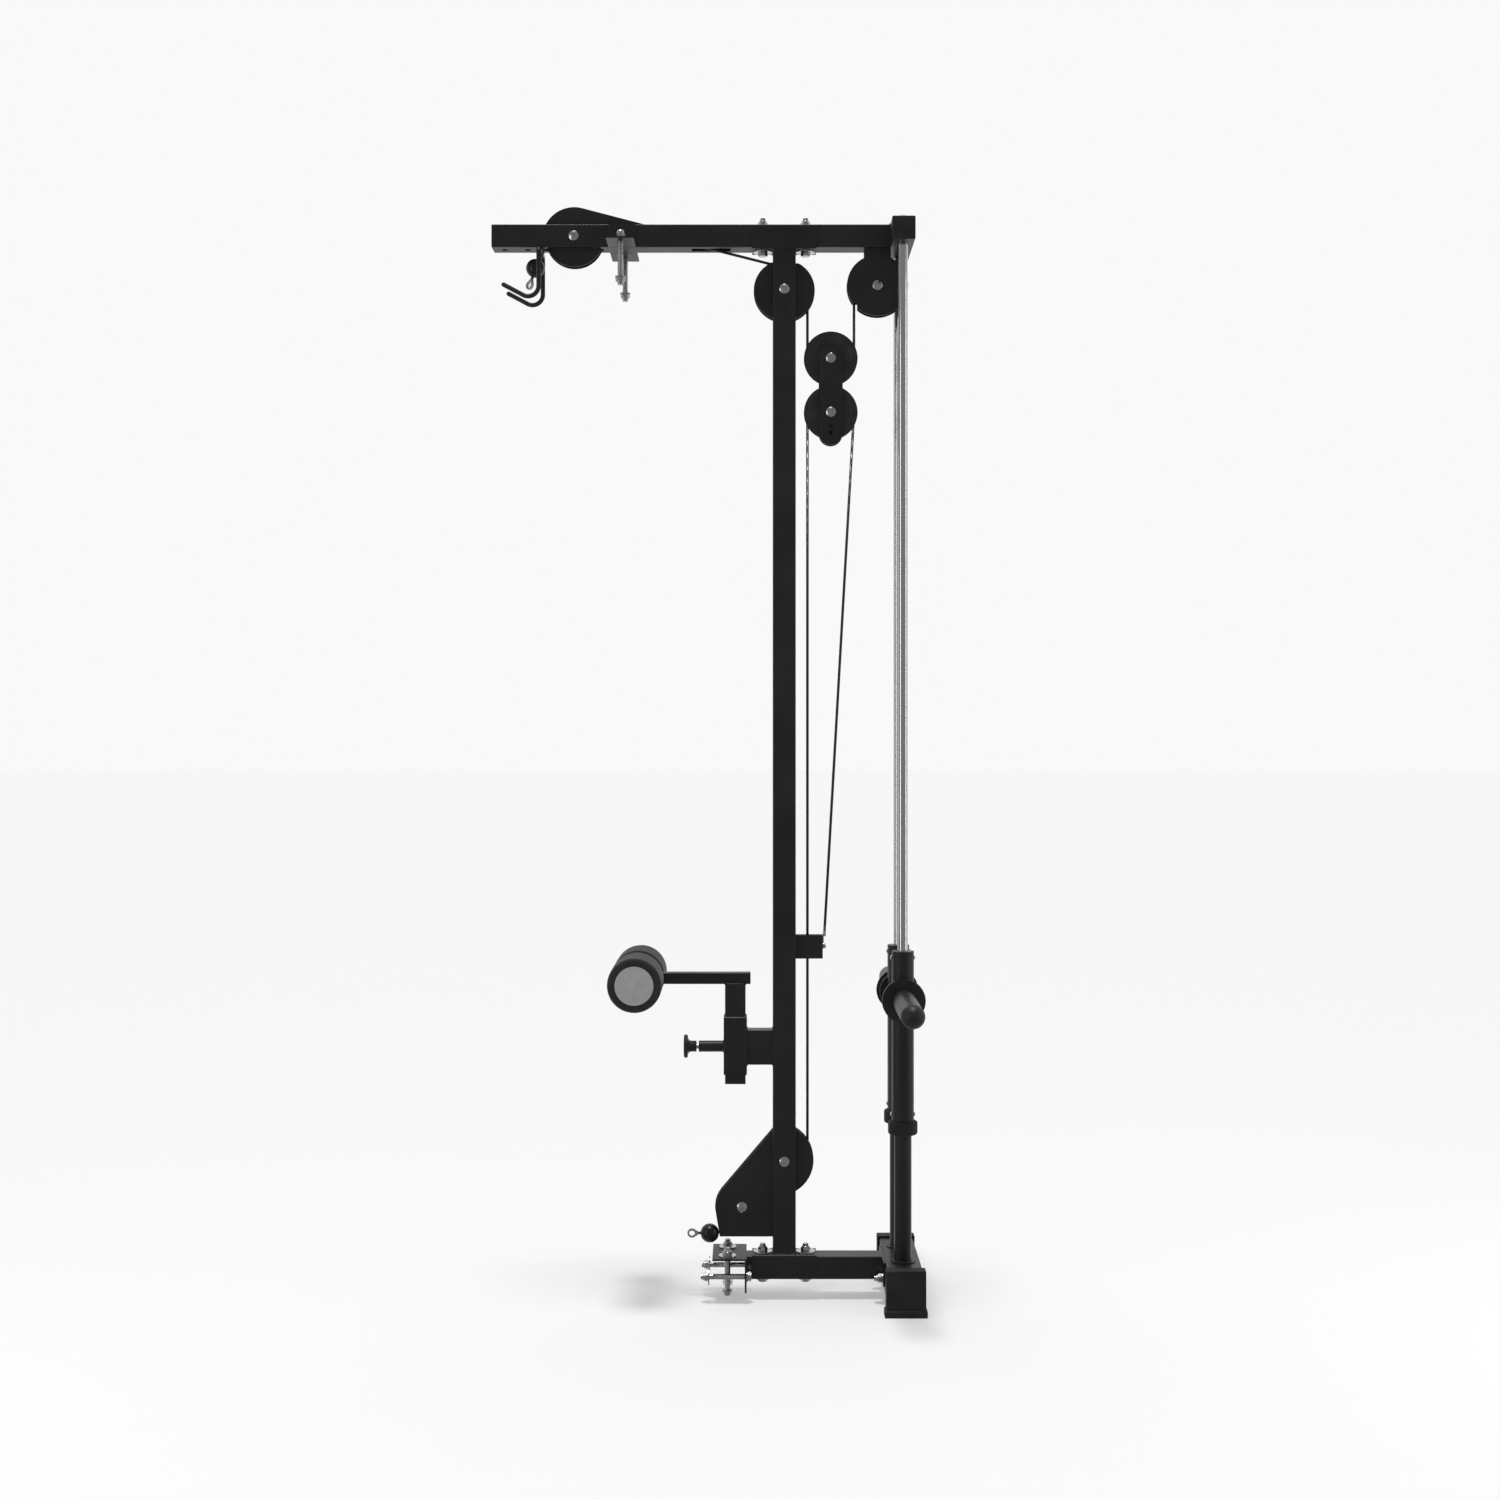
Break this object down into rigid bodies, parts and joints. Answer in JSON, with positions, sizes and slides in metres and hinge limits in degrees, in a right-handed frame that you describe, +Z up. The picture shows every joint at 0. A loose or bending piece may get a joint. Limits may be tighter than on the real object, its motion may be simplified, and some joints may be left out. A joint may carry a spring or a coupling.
{
  "type": "plate-loaded lat pulldown and low row rack attachment",
  "caption": "Tall cable tower with a long top beam, pulleys, guide rods, a plate-loaded carriage, a low row pulley and a foam knee hold-down, made to bolt onto a power rack.",
  "frame": {"origin": "on the floor, in the middle of the whole object's width and depth", "axes": "+Z up, -X towards the user at the front of the top beam, +Y to the far side seen from the picture"},
  "size_m": [0.944, 0.664, 2.3932],
  "materials": {
    "frame_steel": "semi-gloss black powder coat",
    "zinc_steel": "bright zinc",
    "guide_chrome": "polished hard chrome",
    "brushed_disc": "brushed",
    "black_rubber": "matt",
    "black_plastic": "moulded, matt",
    "pulley_nylon": "moulded nylon",
    "bushing_plastic": "machined acetal",
    "cable_jacket": "black coating over steel wire rope",
    "foam": "soft closed-cell foam",
    "ball_plastic": "moulded"
  },
  "bodies": {
    "frame": {"upright": "frame_steel", "upright_saddles": "frame_steel", "top_beam": "frame_steel", "top_crossbar": "frame_steel", "tube_end_plugs": "black_plastic", "base_beam": "frame_steel", "foot_bar": "frame_steel", "foot_boots": "black_rubber", "lower_rack_clamp": "frame_steel", "upper_rack_clamps": "frame_steel", "frame_bolts": "zinc_steel", "frame_nuts": "zinc_steel", "frame_washers": "zinc_steel", "guide_rods": "guide_chrome", "stop_tubes": "frame_steel", "rubber_bumpers": "black_rubber", "front_pulley_plates": "frame_steel", "mid_pulley_guards": "frame_steel", "rear_pulley_hanger": "frame_steel", "low_pulley_housing": "frame_steel", "pulley_axles": "zinc_steel", "bar_hooks": "frame_steel", "anchor_bracket": "frame_steel", "cable_anchor": "zinc_steel", "knee_bracket": "frame_steel", "cable_on_frame_pulleys": "cable_jacket", "strand_mid_to_block": "cable_jacket", "strand_rear_to_block": "cable_jacket", "strand_low_to_block": "cable_jacket", "strand_to_anchor": "cable_jacket", "strand_to_carriage": "cable_jacket", "lat_cable_tail": "cable_jacket", "low_cable_tail": "cable_jacket"},
    "carriage": {"carriage_frame": "frame_steel", "carriage_bushings": "bushing_plastic", "carriage_hardware": "zinc_steel", "weight_horns": "frame_steel", "horn_caps": "black_plastic"},
    "floating_block": {"block_plates": "frame_steel", "block_axles": "zinc_steel", "cable_on_block": "cable_jacket"},
    "top_front_pulley": {"pulley_top_front": "pulley_nylon"},
    "top_mid_pulley": {"pulley_top_mid": "pulley_nylon"},
    "top_rear_pulley": {"pulley_top_rear": "pulley_nylon"},
    "block_upper_pulley": {"pulley_block_upper": "pulley_nylon"},
    "block_lower_pulley": {"pulley_block_lower": "pulley_nylon"},
    "low_rear_pulley": {"pulley_low_rear": "pulley_nylon"},
    "low_front_pulley": {"pulley_low_front": "pulley_nylon"},
    "lat_end": {"lat_ball": "ball_plastic", "lat_eye": "zinc_steel"},
    "row_end": {"low_ball": "ball_plastic", "low_eye": "zinc_steel"},
    "knee_support": {"knee_post": "frame_steel", "knee_arm": "frame_steel", "roller_axle": "frame_steel", "roller_end_discs": "brushed_disc"},
    "pop_pin": {"pop_pin": "zinc_steel", "pin_knob": "black_plastic"},
    "roller_near": {"foam_roller_near": "foam"},
    "roller_far": {"foam_roller_far": "foam"}
  },
  "joints": [
    {"name": "carriage_lift", "type": "slide", "parent": "frame", "child": "carriage", "axis": [0, 0, 1], "range_m": [0, 1.4], "deforming": ["strand_to_carriage"]},
    {"name": "block_drop", "type": "slide", "parent": "frame", "child": "floating_block", "axis": [0, 0, -1], "range_m": [0, 0.7], "deforming": ["strand_mid_to_block", "strand_rear_to_block", "strand_low_to_block", "strand_to_anchor"]},
    {"name": "row_pull", "type": "slide", "parent": "frame", "child": "row_end", "axis": [-1, 0, 0], "range_m": [0, 1.4], "deforming": ["low_cable_tail"]},
    {"name": "lat_pull", "type": "slide", "parent": "frame", "child": "lat_end", "axis": [-0.4193, 0, -0.9079], "range_m": [0, 1.3], "deforming": ["lat_cable_tail"]},
    {"name": "knee_height", "type": "slide", "parent": "frame", "child": "knee_support", "axis": [0, 0, 1], "range_m": [-0.05, 0.05]},
    {"name": "pin_pull", "type": "slide", "parent": "frame", "child": "pop_pin", "axis": [-1, 0, 0], "range_m": [0, 0.012], "stiffness_N_per_m": 1200, "springref_m": -0.006},
    {"name": "roller_near_spin", "type": "hinge", "parent": "knee_support", "child": "roller_near", "pos_m": [-0.1532, -0.0713, 0.7], "axis": [0, 1, 0], "continuous": true},
    {"name": "roller_far_spin", "type": "hinge", "parent": "knee_support", "child": "roller_far", "pos_m": [-0.1532, 0.0713, 0.7], "axis": [0, 1, 0], "continuous": true},
    {"name": "top_rear_spin", "type": "hinge", "parent": "frame", "child": "top_rear_pulley", "pos_m": [0.3738, 0, 2.2218], "axis": [0, 1, 0], "range_deg": [-1567.2, 0]},
    {"name": "low_rear_spin", "type": "hinge", "parent": "frame", "child": "low_rear_pulley", "pos_m": [0.169, 0, 0.3015], "axis": [0, 1, 0], "range_deg": [0, 1567.2]},
    {"name": "low_front_spin", "type": "hinge", "parent": "frame", "child": "low_front_pulley", "pos_m": [0.0762, 0, 0.1991], "axis": [0, 1, 0], "range_deg": [0, 1567.2]},
    {"name": "block_upper_spin", "type": "hinge", "parent": "floating_block", "child": "block_upper_pulley", "pos_m": [0.2714, 0, 2.0625], "axis": [0, 1, 0], "range_deg": [0, 783.8]},
    {"name": "block_lower_spin", "type": "hinge", "parent": "floating_block", "child": "block_lower_pulley", "pos_m": [0.2714, 0, 1.9438], "axis": [0, 1, 0], "range_deg": [-783.8, 0]},
    {"name": "top_front_spin", "type": "hinge", "parent": "frame", "child": "top_front_pulley", "pos_m": [-0.292, 0, 2.327], "axis": [0, 1, 0], "range_deg": [-1455.3, 0]},
    {"name": "top_mid_spin", "type": "hinge", "parent": "frame", "child": "top_mid_pulley", "pos_m": [0.169, 0, 2.2106], "axis": [0, 1, 0], "range_deg": [-1455.3, 0]}
  ],
  "couplings": [
    {"joint": "block_drop", "follows": "carriage_lift", "ratio": 0.5},
    {"joint": "row_pull", "follows": "carriage_lift", "ratio": 1},
    {"joint": "top_rear_spin", "follows": "carriage_lift", "rad_per_m": -19.531},
    {"joint": "low_rear_spin", "follows": "carriage_lift", "rad_per_m": 19.531},
    {"joint": "low_front_spin", "follows": "carriage_lift", "rad_per_m": 19.531},
    {"joint": "block_upper_spin", "follows": "carriage_lift", "rad_per_m": 9.7656},
    {"joint": "block_lower_spin", "follows": "carriage_lift", "rad_per_m": -9.7656},
    {"joint": "top_front_spin", "follows": "lat_pull", "rad_per_m": -19.531},
    {"joint": "top_mid_spin", "follows": "lat_pull", "rad_per_m": -19.531}
  ]
}
